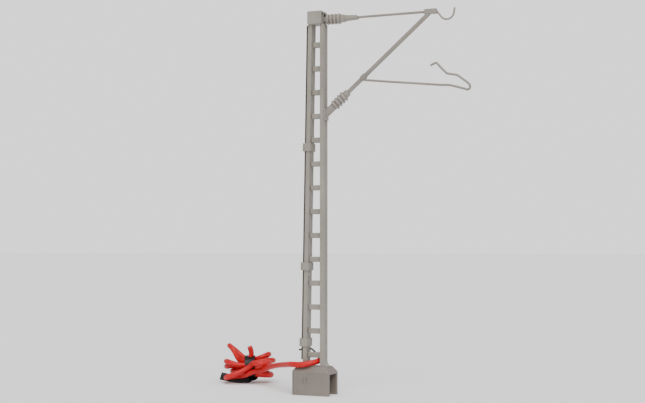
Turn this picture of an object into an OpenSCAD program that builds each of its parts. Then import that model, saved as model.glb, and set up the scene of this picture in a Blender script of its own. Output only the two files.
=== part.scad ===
// Model-railway catenary mast with a bracket arm and a soldered feed lead, in millimetres.
// +Z is up, +X points out along the bracket arm, and -Y is the side with the moulded marks.
// The origin is the centre of the foot's bottom face.

/* [Foot] */
// Length of the hollow foot, along the bracket arm
foot_length = 4.3; // [4:0.1:6]
// Width of the foot, across the bracket arm
foot_width = 2.5; // [2.4:0.1:3.4]
// Height of the foot's upright walls
foot_eave = 2.45; // [2.2:0.05:3]
// Height of the foot's flat top
foot_top = 3.05; // [2.9:0.05:3.4]
// Inset of the sloping edges round the foot's top
foot_bevel = 0.45; // [0.3:0.05:0.5]
// Thickness of the foot's walls
foot_wall = 0.28; // [0.2:0.02:0.35]
// Thickness of the plate that closes the foot's bottom
floor_thick = 0.26; // [0.2:0.02:0.4]
// Distance from the foot's open end to its bottom plate
floor_inset = 0.7; // [0.4:0.1:1.2]
// Height of the open end under its lintel
mouth_height = 2.24; // [1.8:0.02:2.3]
// Radius of the foot's upright corners at the closed end
corner_r = 0.3; // [0.2:0.05:0.4]

/* [Lattice mast] */
// Height of the two columns' top ends
column_top = 39.25; // [36:0.25:44]
// Width of each column, along the bracket arm
column_w = 0.43; // [0.36:0.01:0.5]
// Depth of each column, across the bracket arm
column_d = 1.1; // [0.9:0.05:1.3]
// Clear width between the columns at the foot
gap_bottom = 1.56; // [1.4:0.02:1.7]
// Clear width between the columns at the top
gap_top = 0.92; // [0.8:0.02:1.3]
// Place of the upright column's inner face
upright_x = 0.84; // [0.7:0.02:1]
// Size of the rounded flare at the upright column's foot
flare_r = 0.5; // [0.2:0.05:0.6]
// Width of the shallow groove down the upright column
groove_w = 0.4; // [0.3:0.05:0.6]
// Depth of the groove
groove_deep = 0.05; // [0.03:0.01:0.08]
// Number of battens between the columns
batten_count = 14; // [10:1:14]
// Height of the lowest batten's middle
batten_first = 4.22; // [4.1:0.02:4.6]
// Distance from the top batten's middle to the columns' top ends
batten_top_gap = 2.14; // [1.8:0.02:2.4]
// Height of a batten
batten_h = 0.56; // [0.4:0.02:0.7]
// Depth of a batten, across the bracket arm
batten_d = 0.5; // [0.3:0.05:0.7]

/* [Cap and top arm] */
// Length of the mast's cap, along the bracket arm
cap_length = 1.62; // [1.5:0.02:1.9]
// Width of the cap, across the bracket arm
cap_width = 1.66; // [1.5:0.02:1.9]
// Height of the cap
cap_height = 1.4; // [1.3:0.05:1.6]
// Overhang of the cap past the leaning column's outer face
cap_lap = 0.02; // [0:0.01:0.1]
// Depth of the pocket in the cap's arm side
pocket_deep = 0.4; // [0.3:0.05:0.5]
// Thickness of the cap's lip and cheeks round the pocket
pocket_wall = 0.22; // [0.15:0.01:0.3]
// Diameter of the peg in the pocket
peg_d = 0.3; // [0.2:0.02:0.4]
// Height of the top arm's axis above the cap's bottom
arm_rise = 0.5; // [0.4:0.02:0.6]
// Height and width of the square bar that carries the top insulator
bar_size = 0.5; // [0.4:0.02:0.6]
// Length of the bar
bar_length = 0.3; // [0.2:0.02:0.6]
// Diameter of an insulator's ribs
rib_d = 1.14; // [0.9:0.02:1.3]
// Diameter of an insulator between its ribs
core_d = 0.74; // [0.5:0.02:0.85]
// Distance from one insulator rib to the next
rib_pitch = 0.42; // [0.34:0.02:0.5]
// Number of ribs on the top insulator
top_ribs = 4; // [3:1:5]
// Length of the tapered ferrule past the top insulator
ferrule_length = 1.55; // [1.2:0.1:2.2]
// Diameter of the ferrule's thick end
ferrule_d = 0.68; // [0.5:0.02:0.8]
// Diameter of the ferrule's thin end
ferrule_tip_d = 0.5; // [0.4:0.02:0.6]
// Diameter of the thin top rod
rod_d = 0.26; // [0.2:0.02:0.32]
// Distance from the mast's axis to the inner end of the end fitting
fitting_x = 12.3; // [10:0.1:15]
// Length of the end fitting
fitting_length = 1.3; // [1:0.1:1.6]
// Height of the end fitting
fitting_height = 0.52; // [0.4:0.02:0.7]
// Width of the end fitting
fitting_width = 0.5; // [0.46:0.02:0.7]

/* [Wire hook] */
// Diameter of the hook's wire
hook_d = 0.21; // [0.16:0.01:0.3]
// Radius of the hook's bend, at the middle of the wire
hook_r = 0.75; // [0.6:0.01:0.9]
// Straight length from the end fitting to the bend
hook_shank = 0.8; // [0.6:0.02:1]
// Straight length past the bend
hook_tip = 0.5; // [0.3:0.02:0.9]

/* [Strut and its insulator] */
// Height where the strut's axis meets the upright column
strut_foot = 29.7; // [27:0.05:31]
// Diameter of the strut's tube
strut_d = 0.46; // [0.38:0.02:0.56]
// Distance along the strut from the column to its first rib
strut_start = 1.3; // [0.9:0.05:1.6]
// Number of ribs on the strut's insulator
strut_ribs = 4; // [3:1:6]
// Diameter of the collar past the strut's last rib
neck_d = 0.78; // [0.6:0.02:0.9]
// Diameter of the sleeve at the strut's foot
sleeve_d = 0.8; // [0.6:0.02:0.9]
// Height of the pad between the sleeve and the column
pad_height = 1.3; // [1:0.05:1.5]
// Thickness of the pad
pad_thick = 0.14; // [0.1:0.02:0.2]

/* [Steady arm] */
// Diameter of the steady arm's wire
steady_d = 0.24; // [0.2:0.01:0.3]
// Length of the sleeve that holds the steady arm on the strut
saddle_length = 0.62; // [0.4:0.02:0.8]
// Outer diameter of that sleeve
saddle_d = 0.62; // [0.6:0.02:0.8]

/* [Feed wire] */
// Diameter of the dark feed wire on the leaning column
feed_d = 0.32; // [0.24:0.02:0.4]
// Height of the feed wire's lower end
feed_bottom = 3.7; // [3.4:0.1:4.2]
// Height of a clip that holds the feed wire
clip_h = 0.86; // [0.6:0.02:1]
// Thickness of a clip
clip_wall = 0.12; // [0.08:0.01:0.16]
// Diameter of the wire tail bent round behind the column
tail_d = 0.2; // [0.16:0.02:0.24]

/* [Feed lead] */
// Diameter of the insulated feed lead
lead_d = 0.6; // [0.5:0.02:0.66]
// Width of the hank's two fans of loops
hank_width = 3.6; // [3:0.1:4.4]
// Diameter of the hank where it is tied
waist_d = 2.3; // [2.1:0.1:2.5]
// Width of the tie round the hank
tie_width = 0.5; // [0.3:0.05:0.55]
// Thickness of the tie
tie_thick = 0.16; // [0.1:0.02:0.24]

/* [Hidden] */
$fn = 48;
wire_sides = 8;
// Clearance round a part that slides over another
slip = 0.01;

BATTENS = [for (i = [1:14]) str("batten_", i < 10 ? "0" : "", i)];
CLIPS = ["clip_lower", "clip_middle", "clip_upper"];

// Colours of the moulded plastic, the dark wires and the lead
mast_grey = "#8f8a80";
arm_grey = "#86827a";
dark_wire = "#3b3734";
solder_grey = "#c8c6c2";
lead_red = "#d62f35";
tie_black = "#151515";

// The leaning column's inner and outer faces as straight lines up the mast
lean_height = column_top - foot_top;
function inner_x(z) = upright_x - gap_bottom + (gap_bottom - gap_top) * (z - foot_top) / lean_height;
function outer_x(z) = inner_x(z) - column_w;
lean_angle = atan2(gap_bottom - gap_top, lean_height);
upright_outer = upright_x + column_w;

// Heights of the cap and of the arm's axis
cap_left = outer_x(column_top) - cap_lap;
cap_right = cap_left + cap_length;
arm_z = column_top + arm_rise;
bar_end = cap_right + bar_length;
rib_half = rib_pitch * 0.36;
collar_length = rib_pitch;
insulator_length = top_ribs * rib_pitch + collar_length;
ferrule_x = bar_end + insulator_length;
rod_x = ferrule_x + ferrule_length;
fitting_bottom = arm_z - fitting_height / 2;

// The strut runs from the upright column to the underside of the end fitting
strut_top_x = fitting_x + 0.38;
strut_rise = fitting_bottom - strut_foot;
strut_run = strut_top_x - upright_outer;
strut_angle = atan2(strut_rise, strut_run);
strut_length = sqrt(strut_rise * strut_rise + strut_run * strut_run);
strut_insulator_length = (strut_ribs + 1) * rib_pitch;
tube_start = strut_start + strut_insulator_length;
saddle_at = tube_start + 2.3;

// Spacing and undersides of the battens, and of the three clips that sit below battens 2, 5 and 10
batten_pitch = (column_top - batten_top_gap - batten_first) / (batten_count - 1);
function batten_low(i) = batten_first + i * batten_pitch - batten_h / 2;
clip_bottoms = [for (c = [[1, 0.5], [4, 0.03], [9, 0.03]]) batten_low(c[0]) - c[1] - clip_h];
feed_y = -0.16;

// Bend of the wire hook, in degrees round its centre
hook_from = 218;
hook_to = 352;
hook_step = 13.4;
hook_x = fitting_x + fitting_length + hook_shank * sin(hook_from + 180) - hook_r * cos(hook_from);
hook_z = arm_z + hook_shank * cos(hook_from) - hook_r * sin(hook_from);

// Bends of the steady arm past its saddle, as distances out and up from the saddle's axis
steady_bends = [
    [0.1, -0.3], [2.8, -0.62], [5.6, -0.93], [8.35, -1.24], [9.4, -1.33], [10.85, -1.74], [11.3, -1.86],
    [11.5, -1.6], [11.34, -1.24], [10.33, -0.46], [10.05, -0.31], [9.3, -0.16], [8.97, -0.01],
    [8.43, 0.54], [8.05, 0.95], [7.86, 1.03], [7.34, 0.81]];

// Route of the wire tail: round behind the leaning column and down to the solder joint
tail_route = [
    [-1.66, -0.2, 4.7], [-1.64, 0.15, 4.72], [-1.5, 0.5, 4.75], [-1.2, 0.7, 4.8], [-0.85, 0.7, 4.82],
    [-0.5, 0.62, 4.7], [-0.15, 0.52, 4.45], [0.15, 0.45, 4.15], [0.38, 0.42, 3.92]];

// Route of the feed lead from its soldered end to the tied hank
lead_route = [
    [0.48, 0.15, 3.62], [0.42, -0.2, 3.54], [0.15, -0.62, 3.46], [-0.3, -0.98, 3.35], [-0.85, -1.13, 3.25],
    [-1.5, -1.16, 3.22], [-2.1, -1, 3.2], [-2.75, -0.5, 3.14], [-3.5, 0.35, 3], [-4.5, 1.5, 2.85],
    [-5.6, 2.6, 2.65], [-6.7, 3.65, 2.4], [-7.8, 4.65, 2.12], [-8.7, 5.45, 1.8], [-9.5, 6.15, 1.58]];
solder_length = 0.26;
solder_d = 0.34;

// Hank: the middle of its waist, its turn about Z, and the tips of its two fans of loops
// as reach, height of the lowest loop and height of the highest. Two loops more lie to the
// front and the back, each given by the middle of its round end, its radius, bottom and top
hank_x = -11.2;
hank_y = 7.2;
hank_turn = 25;
waist_z = 1.9;
waist_length = 0.6;
inner_fan = [2.95, 0.6, 3.6];
outer_fan = [3.1, 0.36, 4.6];
front_loops = [[1.25, -1.95], 1, 1.85, 2.85];
back_loops = [[-1.3, 1.85], 1, 1, 2.3];
loop_end_r = 0.5;
free_end_x = 0.65;
free_end_z = 4.25;
tail_reach = 3.4;

// ---- Shared shapes ----

// A smooth line through a list of points, with a number of steps between neighbours
function along(p, i, t) =
    let (n = len(p) - 1,
         a = p[max(i - 1, 0)], b = p[i], c = p[min(i + 1, n)], d = p[min(i + 2, n)])
    0.5 * (2 * b + (c - a) * t + (2 * a - 5 * b + 4 * c - d) * t * t + (3 * b - a - 3 * c + d) * t * t * t);
function smooth_line(p, steps) = concat(
    [for (i = [0:len(p) - 2]) for (s = [0:steps - 1]) along(p, i, s / steps)],
    [p[len(p) - 1]]);

function unit(v) = v / norm(v);
function heading(p, i) = unit(p[min(i + 1, len(p) - 1)] - p[max(i - 1, 0)]);
function carried(side, way) = unit(side - (side * way) * way);
function sides_of(p, i, start) = i == 0
    ? [carried(start, heading(p, 0))]
    : let (before = sides_of(p, i - 1, start)) concat(before, [carried(before[i - 1], heading(p, i))]);

// A round wire or lead swept along a list of points, as one closed solid
module swept_wire(p, d, start) {
    last = len(p) - 1;
    side = sides_of(p, last, start);
    rings = [for (i = [0:last]) for (k = [0:wire_sides - 1])
        let (turn = 360 * k / wire_sides)
        p[i] + d / 2 * (cos(turn) * side[i] + sin(turn) * cross(heading(p, i), side[i]))];
    walls = [for (i = [0:last - 1]) for (k = [0:wire_sides - 1])
        let (a = i * wire_sides + k, b = i * wire_sides + (k + 1) % wire_sides)
        [a, a + wire_sides, b + wire_sides, b]];
    first_end = [[for (k = [0:wire_sides - 1]) k]];
    last_end = [[for (k = [wire_sides - 1:-1:0]) last * wire_sides + k]];
    polyhedron(points = rings, faces = concat(first_end, walls, last_end));
}

// A shape drawn in X and Z, given a thickness in Y about the mast's middle plane
module in_arm_plane(depth) {
    rotate([90, 0, 0]) translate([0, 0, -depth / 2]) linear_extrude(depth) children();
}

// Ribs and necks of an insulator, turned about Z, rising from z = 0
module ribbed_insulator(ribs) {
    rotate_extrude() polygon(concat(
        [[0, 0]],
        [for (i = [0:ribs - 1]) for (q = [
            [core_d / 2, i * rib_pitch],
            [core_d / 2, (i + 0.5) * rib_pitch - rib_half],
            [rib_d / 2, (i + 0.5) * rib_pitch - rib_half * 0.55],
            [rib_d / 2, (i + 0.5) * rib_pitch + rib_half * 0.55],
            [core_d / 2, (i + 0.5) * rib_pitch + rib_half]]) q],
        [[core_d / 2, ribs * rib_pitch], [0, ribs * rib_pitch]]));
}

// Places a child that rises along Z so that it runs along the strut from the column
module along_strut(distance) {
    translate([upright_outer, 0, strut_foot]) rotate([0, 90 - strut_angle, 0])
        translate([0, 0, distance]) children();
}

// Places a child that rises along Z on the leaning column's outer face at a height
module on_leaning_column(z) {
    translate([outer_x(z), 0, z]) rotate([0, lean_angle, 0]) children();
}

// ---- Foot ----

module foot_outline(length) {
    half = length / 2;
    polygon([[-half, 0], [half, 0], [half, foot_eave], [half - foot_bevel, foot_top],
             [foot_bevel - half, foot_top], [-half, foot_eave]]);
}

module foot() {
    inner_w = foot_width - 2 * foot_wall;
    mark_w = 0.14;
    mark_deep = 0.06;
    color(mast_grey) difference() {
        intersection() {
            in_arm_plane(foot_width + 2) foot_outline(foot_length);
            rotate([90, 0, 90]) translate([0, 0, -foot_length / 2 - 1])
                linear_extrude(foot_length + 2) foot_outline(foot_width);
            linear_extrude(foot_top) union() {
                translate([-foot_length / 2 + corner_r, -foot_width / 2])
                    square([foot_length - corner_r, foot_width]);
                translate([-foot_length / 2, -foot_width / 2 + corner_r])
                    square([foot_length, foot_width - 2 * corner_r]);
                for (side = [-1, 1])
                    translate([-foot_length / 2 + corner_r, side * (foot_width / 2 - corner_r)])
                        circle(corner_r);
            }
        }
        translate([-foot_length / 2 + foot_wall, -inner_w / 2, -1])
            cube([foot_length, inner_w, mouth_height + 1]);
        for (x = [-0.85, -0.5])
            translate([x, -foot_width / 2 - mark_deep, 1.2]) cube([mark_w, 2 * mark_deep, 0.66]);
    }
}

module foot_floor() {
    inner_w = foot_width - 2 * foot_wall;
    color(mast_grey) translate([-foot_length / 2 + foot_wall, -inner_w / 2, 0])
        cube([foot_length - foot_wall - floor_inset, inner_w, floor_thick]);
}

// ---- Columns and battens ----

module upright_column() {
    color(mast_grey) difference() {
        in_arm_plane(column_d) difference() {
            union() {
                translate([upright_x, foot_top]) square([column_w, lean_height]);
                translate([upright_outer - slip, foot_top]) square([flare_r + slip, flare_r]);
            }
            translate([upright_outer + flare_r, foot_top + flare_r]) circle(flare_r);
        }
        translate([upright_outer - groove_deep, -groove_w / 2, foot_top + flare_r + 0.4])
            cube([1, groove_w, lean_height]);
    }
}

module leaning_column() {
    pip_d = 0.36;
    pip_z = 12.7;
    color(mast_grey) union() {
        in_arm_plane(column_d) polygon([
            [outer_x(foot_top), foot_top], [inner_x(foot_top), foot_top],
            [inner_x(column_top), column_top], [outer_x(column_top), column_top]]);
        translate([inner_x(pip_z) - pip_d / 2, -column_d / 2 + pip_d / 2, pip_z])
            rotate([0, 90, 0]) cylinder(h = pip_d / 2 + 0.14, d = pip_d);
    }
}

module batten(i) {
    low = batten_low(i);
    high = low + batten_h;
    color(mast_grey) in_arm_plane(batten_d)
        polygon([[inner_x(low), low], [upright_x, low], [upright_x, high], [inner_x(high), high]]);
}

// ---- Cap and top arm ----

module cap() {
    pocket_low = arm_z + bar_size / 2;
    color(mast_grey) difference() {
        translate([cap_left, -cap_width / 2, column_top]) cube([cap_length, cap_width, cap_height]);
        translate([cap_right - pocket_deep, -cap_width / 2 + pocket_wall, pocket_low])
            cube([1, cap_width - 2 * pocket_wall, column_top + cap_height - pocket_wall - pocket_low]);
    }
}

module cap_peg() {
    peg_low = arm_z + bar_size / 2;
    color(mast_grey) translate([cap_right - pocket_deep / 2, 0, peg_low])
        cylinder(h = column_top + cap_height - pocket_wall - peg_low, d = peg_d);
}

module arm_bar() {
    color(arm_grey) translate([cap_right, -bar_size / 2, arm_z - bar_size / 2])
        cube([bar_length, bar_size, bar_size]);
}

module top_insulator() {
    color(arm_grey) translate([bar_end, 0, arm_z]) union() {
        rotate([0, 90, 0]) ribbed_insulator(top_ribs);
        translate([insulator_length - collar_length, -core_d / 2, -core_d / 2])
            cube([collar_length, core_d, core_d]);
    }
}

module ferrule() {
    color(arm_grey) difference() {
        translate([ferrule_x, 0, arm_z]) rotate([0, 90, 0])
            cylinder(h = ferrule_length, d1 = ferrule_d, d2 = ferrule_tip_d);
        translate([rod_x, -1, arm_z - rod_d / 2]) rotate([0, 60, 0]) cube([1, 2, 1]);
    }
}

module top_rod() {
    color(arm_grey) translate([rod_x, 0, arm_z]) rotate([0, 90, 0])
        cylinder(h = fitting_x - rod_x, d = rod_d);
}

module end_fitting() {
    color(arm_grey) translate([fitting_x, -fitting_width / 2, fitting_bottom])
        cube([fitting_length, fitting_width, fitting_height]);
}

module wire_hook() {
    start = [fitting_x + fitting_length, 0, arm_z];
    shank_way = [-sin(hook_from), 0, cos(hook_from)];
    tip_way = [-sin(hook_to), 0, cos(hook_to)];
    bend = [for (turn = [hook_from:hook_step:hook_to])
        [hook_x + hook_r * cos(turn), 0, hook_z + hook_r * sin(turn)]];
    wire = concat([start - hook_d * shank_way], bend, [bend[len(bend) - 1] + hook_tip * tip_way]);
    color(arm_grey) difference() {
        swept_wire(wire, hook_d, [0, 1, 0]);
        translate([fitting_x, -fitting_width / 2, fitting_bottom])
            cube([fitting_length, fitting_width, fitting_height]);
    }
}

// ---- Strut, its insulator and the steady arm ----

module strut_foot_lug() {
    color(arm_grey) union() {
        translate([upright_outer, -column_d / 2, strut_foot - pad_height / 2])
            cube([pad_thick, column_d, pad_height]);
        difference() {
            along_strut(-1) cylinder(h = strut_start + 1, d = sleeve_d);
            translate([upright_outer - 2, -1, strut_foot - 2]) cube([2 + pad_thick / 2, 2, 4]);
        }
    }
}

module strut_insulator() {
    color(arm_grey) union() {
        along_strut(strut_start) ribbed_insulator(strut_ribs);
        along_strut(tube_start - rib_pitch) cylinder(h = rib_pitch, d = neck_d);
    }
}

module strut_tube() {
    color(arm_grey) difference() {
        along_strut(tube_start) cylinder(h = strut_length, d = strut_d);
        translate([fitting_x - 1, -1, fitting_bottom]) cube([6, 2, 8]);
    }
}

module steady_arm_saddle() {
    color(arm_grey) difference() {
        along_strut(saddle_at - saddle_length / 2) cylinder(h = saddle_length, d = saddle_d);
        along_strut(saddle_at - saddle_length) cylinder(h = 2 * saddle_length, d = strut_d + 2 * slip);
    }
}

module steady_arm() {
    saddle_x = upright_outer + saddle_at * cos(strut_angle);
    saddle_z = strut_foot + saddle_at * sin(strut_angle);
    bends = [for (b = steady_bends) [saddle_x + b[0], 0, saddle_z + b[1]]];
    color(arm_grey) difference() {
        swept_wire(smooth_line(bends, 4), steady_d, [0, 1, 0]);
        along_strut(saddle_at - saddle_length) cylinder(h = 2 * saddle_length, d = saddle_d);
    }
}

// ---- Feed wire, clips and wire tail ----

module feed_wire() {
    reach = (column_top - feed_bottom) / cos(lean_angle) - 2 * slip;
    color(dark_wire) on_leaning_column(feed_bottom)
        translate([-feed_d / 2 - slip, feed_y, 0]) cylinder(h = reach, d = feed_d);
}

module clip(i) {
    out = feed_d + 2 * slip + clip_wall;
    deep = column_d / 2 + clip_wall;
    color(mast_grey) on_leaning_column(clip_bottoms[i]) difference() {
        linear_extrude(clip_h) difference() {
            union() {
                translate([-clip_wall, -deep]) square([column_w + 2 * clip_wall, 2 * deep]);
                translate([-out, feed_y - feed_d / 2 - clip_wall])
                    square([out, feed_d + 2 * clip_wall]);
            }
            translate([0, -column_d / 2]) square([column_w, column_d]);
            translate([-feed_d / 2 - slip, feed_y]) circle(d = feed_d + 2 * slip);
            translate([-feed_d / 2, feed_y - feed_d / 4]) square([feed_d, feed_d / 2]);
        }
    }
}

module wire_tail() {
    color(dark_wire) swept_wire(smooth_line(tail_route, 3), tail_d, [0, 0, 1]);
}

// ---- Feed lead, its hank and tie ----

module solder_joint() {
    lead = smooth_line(lead_route, 2);
    color(solder_grey) swept_wire(
        [lead[0] - solder_length * heading(lead, 0), lead[0]], solder_d, [0, 0, 1]);
}

module feed_lead() {
    color(lead_red) swept_wire(smooth_line(lead_route, 2), lead_d, [0, 0, 1]);
}

module at_hank() {
    translate([hank_x, hank_y, 0]) rotate([0, 0, hank_turn]) children();
}

// One fan of loops, opening along +X from the waist: a wedge seen from the side, and
// round-ended seen from above
module loop_fan(fan) {
    intersection() {
        in_arm_plane(hank_width + 1) hull() {
            translate([waist_length / 2, waist_z - waist_d / 2]) square([0.1, waist_d]);
            for (z = [fan[1] + loop_end_r, fan[2] - loop_end_r])
                translate([fan[0] - loop_end_r, z]) circle(loop_end_r, $fn = 20);
        }
        linear_extrude(fan[2] + 1) hull() {
            translate([waist_length / 2, -waist_d / 2]) square([0.1, waist_d]);
            translate([fan[0] - hank_width / 2, 0]) circle(hank_width / 2, $fn = 28);
        }
    }
}

// Loops that lie across the hank, beside the waist
module side_loops(lie) {
    side = sign(lie[0][0]);
    translate([0, 0, lie[2]]) linear_extrude(lie[3] - lie[2]) hull() {
        translate([side * (waist_length / 2 + 0.1) - 0.1, -waist_d / 2]) square([0.2, waist_d]);
        translate(lie[0]) circle(lie[1], $fn = 28);
    }
}

module feed_lead_hank() {
    color(lead_red) difference() {
        at_hank() union() {
            translate([-waist_length / 2, 0, waist_z]) rotate([0, 90, 0])
                cylinder(h = waist_length, d = waist_d);
            loop_fan(inner_fan);
            rotate([0, 0, 180]) loop_fan(outer_fan);
            side_loops(front_loops);
            side_loops(back_loops);
            translate([free_end_x, 0, waist_z]) cylinder(h = free_end_z - waist_z, d = lead_d);
        }
        swept_wire(smooth_line(lead_route, 2), lead_d + 2 * slip, [0, 0, 1]);
    }
}

module hank_tie() {
    tie_d = waist_d + 2 * slip;
    tail_h = outer_fan[1] - 0.04;
    color(tie_black) at_hank() union() {
        translate([-tie_width / 2, 0, waist_z]) rotate([0, 90, 0]) difference() {
            cylinder(h = tie_width, d = tie_d + 2 * tie_thick);
            translate([0, 0, -1]) cylinder(h = tie_width + 2, d = tie_d);
        }
        difference() {
            union() {
                translate([-tie_width / 2, -tie_width / 2, 0]) cube([tie_width, tie_width, waist_z]);
                translate([-tail_reach, -tie_width / 2, 0])
                    cube([tail_reach + tie_width / 2, tie_width, tail_h]);
            }
            translate([-1, 0, waist_z]) rotate([0, 90, 0]) cylinder(h = 2, d = tie_d);
        }
    }
}

foot();
foot_floor();
upright_column();
leaning_column();
for (i = [0:batten_count - 1]) batten(i);
cap();
cap_peg();
arm_bar();
top_insulator();
ferrule();
top_rod();
end_fitting();
wire_hook();
strut_foot_lug();
strut_insulator();
strut_tube();
steady_arm_saddle();
steady_arm();
feed_wire();
for (i = [0:2]) clip(i);
wire_tail();
solder_joint();
feed_lead();
feed_lead_hank();
hank_tie();
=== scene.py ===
# %% [markdown]
# A model-railway catenary mast, 41 mm tall. The moulded foot, lattice mast and bracket arm come from the
# CAD frame, and this notebook gives them what moulding, bending and soldering give the real ones: softened
# edges, round wire, a soft red feed lead tied in a hank, and finishes with grain and wear.
# Everything small is modelled in millimetres on objects scaled to 0.001, which keeps Blender's edge tools
# well away from their smallest distances. The frame itself is in metres.

# %% Load the frame
import math

import bmesh
import bpy
import numpy as np
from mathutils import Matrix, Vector


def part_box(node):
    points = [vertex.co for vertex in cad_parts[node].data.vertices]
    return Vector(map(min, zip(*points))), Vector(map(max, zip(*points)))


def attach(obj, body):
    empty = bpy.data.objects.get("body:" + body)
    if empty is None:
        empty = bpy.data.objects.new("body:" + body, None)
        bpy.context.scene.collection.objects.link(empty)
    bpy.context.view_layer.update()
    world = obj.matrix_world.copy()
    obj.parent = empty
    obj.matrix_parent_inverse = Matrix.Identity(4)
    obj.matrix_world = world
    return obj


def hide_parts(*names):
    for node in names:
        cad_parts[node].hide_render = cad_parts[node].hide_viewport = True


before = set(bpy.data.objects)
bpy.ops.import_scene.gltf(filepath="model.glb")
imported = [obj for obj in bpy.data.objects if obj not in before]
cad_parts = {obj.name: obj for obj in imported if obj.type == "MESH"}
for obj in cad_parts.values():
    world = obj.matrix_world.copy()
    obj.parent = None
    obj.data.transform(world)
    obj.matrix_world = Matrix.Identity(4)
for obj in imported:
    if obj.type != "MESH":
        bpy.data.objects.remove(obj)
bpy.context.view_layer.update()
MM = 0.001

# %% [markdown]
# The camera stands level with the lower half of the mast, a little to its arm side. A tall thin object
# keeps its uprights parallel when the camera hardly tilts, so most of the framing is done with a small
# lens shift instead of a tilt.

# %% Camera
CAMERA_PLACE = Vector((51.15, -118.17, 15.55)) * MM
CAMERA_YAW = math.radians(23.03)
CAMERA_PITCH = math.radians(0.846)
CAMERA_LENS = 67.64
CAMERA_SHIFT = 0.0442
SENSOR_WIDTH = 36
NEAREST, FURTHEST = 0.001, 10

camera = bpy.data.objects.new("camera", bpy.data.cameras.new("camera"))
bpy.context.scene.collection.objects.link(camera)
camera.location = CAMERA_PLACE
camera.rotation_euler = (math.radians(90) + CAMERA_PITCH, 0, CAMERA_YAW)
camera.data.sensor_width = SENSOR_WIDTH
camera.data.lens = CAMERA_LENS
camera.data.shift_y = CAMERA_SHIFT
camera.data.clip_start, camera.data.clip_end = NEAREST, FURTHEST
bpy.context.scene.camera = camera
print("camera:", [round(c, 4) for c in camera.location], "lens", CAMERA_LENS)

# %% [markdown]
# The feed lead is a soft insulated wire, 0.6 mm thick. It leaves its solder joint at the foot of the
# lattice, lies over the foot's edge, falls away to the back and ends in a small hank that a twist tie
# holds. The whole lead is here from end to end, a little over 82 mm. A simulated cord could hang anywhere,
# so the free stretch is a smooth line through points on the CAD's own route.

# %% The lead's free stretch
LEAD_ACROSS = 0.6
LEAD_ROUTE = [
    (0.48, 0.15, 3.62), (0.42, -0.2, 3.54), (0.15, -0.62, 3.46), (-0.3, -0.98, 3.35),
    (-0.85, -1.13, 3.25), (-1.5, -1.16, 3.22), (-2.1, -1, 3.2), (-2.75, -0.5, 3.14),
    (-3.5, 0.35, 3), (-4.5, 1.5, 2.85), (-5.6, 2.6, 2.65), (-6.7, 3.65, 2.4),
    (-7.8, 4.65, 2.12), (-8.7, 5.45, 1.8), (-9.5, 6.15, 1.58),
]


def flowing(points, steps):
    """A smooth line through the points, with a number of steps between neighbours."""
    p = np.array(points, float)
    p = np.vstack([2 * p[0] - p[1], p, 2 * p[-1] - p[-2]])
    line = []
    for i in range(1, len(p) - 2):
        a, b, c, d = p[i - 1:i + 3]
        for t in np.arange(steps) / steps:
            line.append(0.5 * (2 * b + (c - a) * t + (2 * a - 5 * b + 4 * c - d) * t ** 2
                               + (3 * b - a - 3 * c + d) * t ** 3))
    return np.array(line + [p[-2]])


def length_of(line):
    """How long the line is, along its points."""
    return float(np.linalg.norm(np.diff(line, axis=0), axis=1).sum())


STEPS_A_POINT = 2
free_stretch = flowing(LEAD_ROUTE, STEPS_A_POINT)
print("free stretch of the lead:", round(length_of(free_stretch), 1), "mm")

# %% [markdown]
# A hank is wound back and forth over the hand and tied in the middle, so its loops stick out to both sides
# like a bow. Ten strands cross its middle. Eight go through the tie, packed as round sticks pack in a pipe:
# seven in a ring and one in their middle. The first two cross over the tie's front. Angles round the ring
# count from the back upwards, and places are in mm, to the back and up from the hank's middle.

# %% The hank's place and its loops
HANK_MIDDLE = np.array([-11.2, 7.2, 1.9])
HANK_TURN = math.radians(25)
HANK_AXES = np.array([
    [math.cos(HANK_TURN), math.sin(HANK_TURN), 0],
    [-math.sin(HANK_TURN), math.cos(HANK_TURN), 0],
    [0, 0, 1],
])
PACKED_AT = 0.87
OVER_TIE = 1.66


def in_ring(degrees):
    """A strand's place in the waist, to the back and up, on the ring."""
    return (PACKED_AT * math.cos(math.radians(degrees)), PACKED_AT * math.sin(math.radians(degrees)))


# side, rise, swing to the back, reach, place in the waist or over the tie, half width
LOOPS = [
    (-1, -26, -22, 3.0, (-OVER_TIE, -0.55), 1.45),
    (1, 12, -62, 3.1, (-OVER_TIE, 0.1), 1.6),
    (-1, -15, 58, 2.85, in_ring(202), 1.45),
    (1, -25, 22, 2.42, in_ring(247), 1.45),
    (-1, 11, 6, 2.87, in_ring(292), 1.45),
    (1, 14.5, 14, 2.78, in_ring(157), 1.45),
    (-1, 3, 34, 3.0, in_ring(337), 1.45),
    (1, 34, 24, 2.5, (0.1, 0), 1.45),
    (-1, 45.5, 0, 3.38, in_ring(67), 1.45),
]
LAST_PLACE = in_ring(115)
# the free end from the tie's top on: along, to the back, up
FREE_END = [
    (0.45, -0.3, 1.0), (0.8, -0.4, 1.35), (0.8, -0.45, 1.65), (0.5, -0.5, 1.9), (0.1, -0.55, 2.0),
]
over_the_tie = sum(math.hypot(*loop[4]) >= OVER_TIE for loop in LOOPS)
print("hank:", len(LOOPS), "loops,", over_the_tie, "strands over the tie and",
      len(LOOPS) + 1 - over_the_tie, "through it")

# %% [markdown]
# Each loop is first drawn as a plain teardrop that starts at its strand's place in the waist and comes back
# to the next strand's. A row of the list says which side it leaves on, how steeply it rises and how far it
# swings to the back in degrees, how far it reaches, and how wide it is. Drawing all of it by hand, point by
# point, would give no shape that could be corrected later.

# %% Teardrops through the waist
LOOP_POINTS = 13
LOOP_LEAN = math.radians(5.5)
BLUNT = 0.8
ROOT_FADES = 1.3
INTO_WAIST = [(0.6, -1.72, -0.42)]


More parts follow.
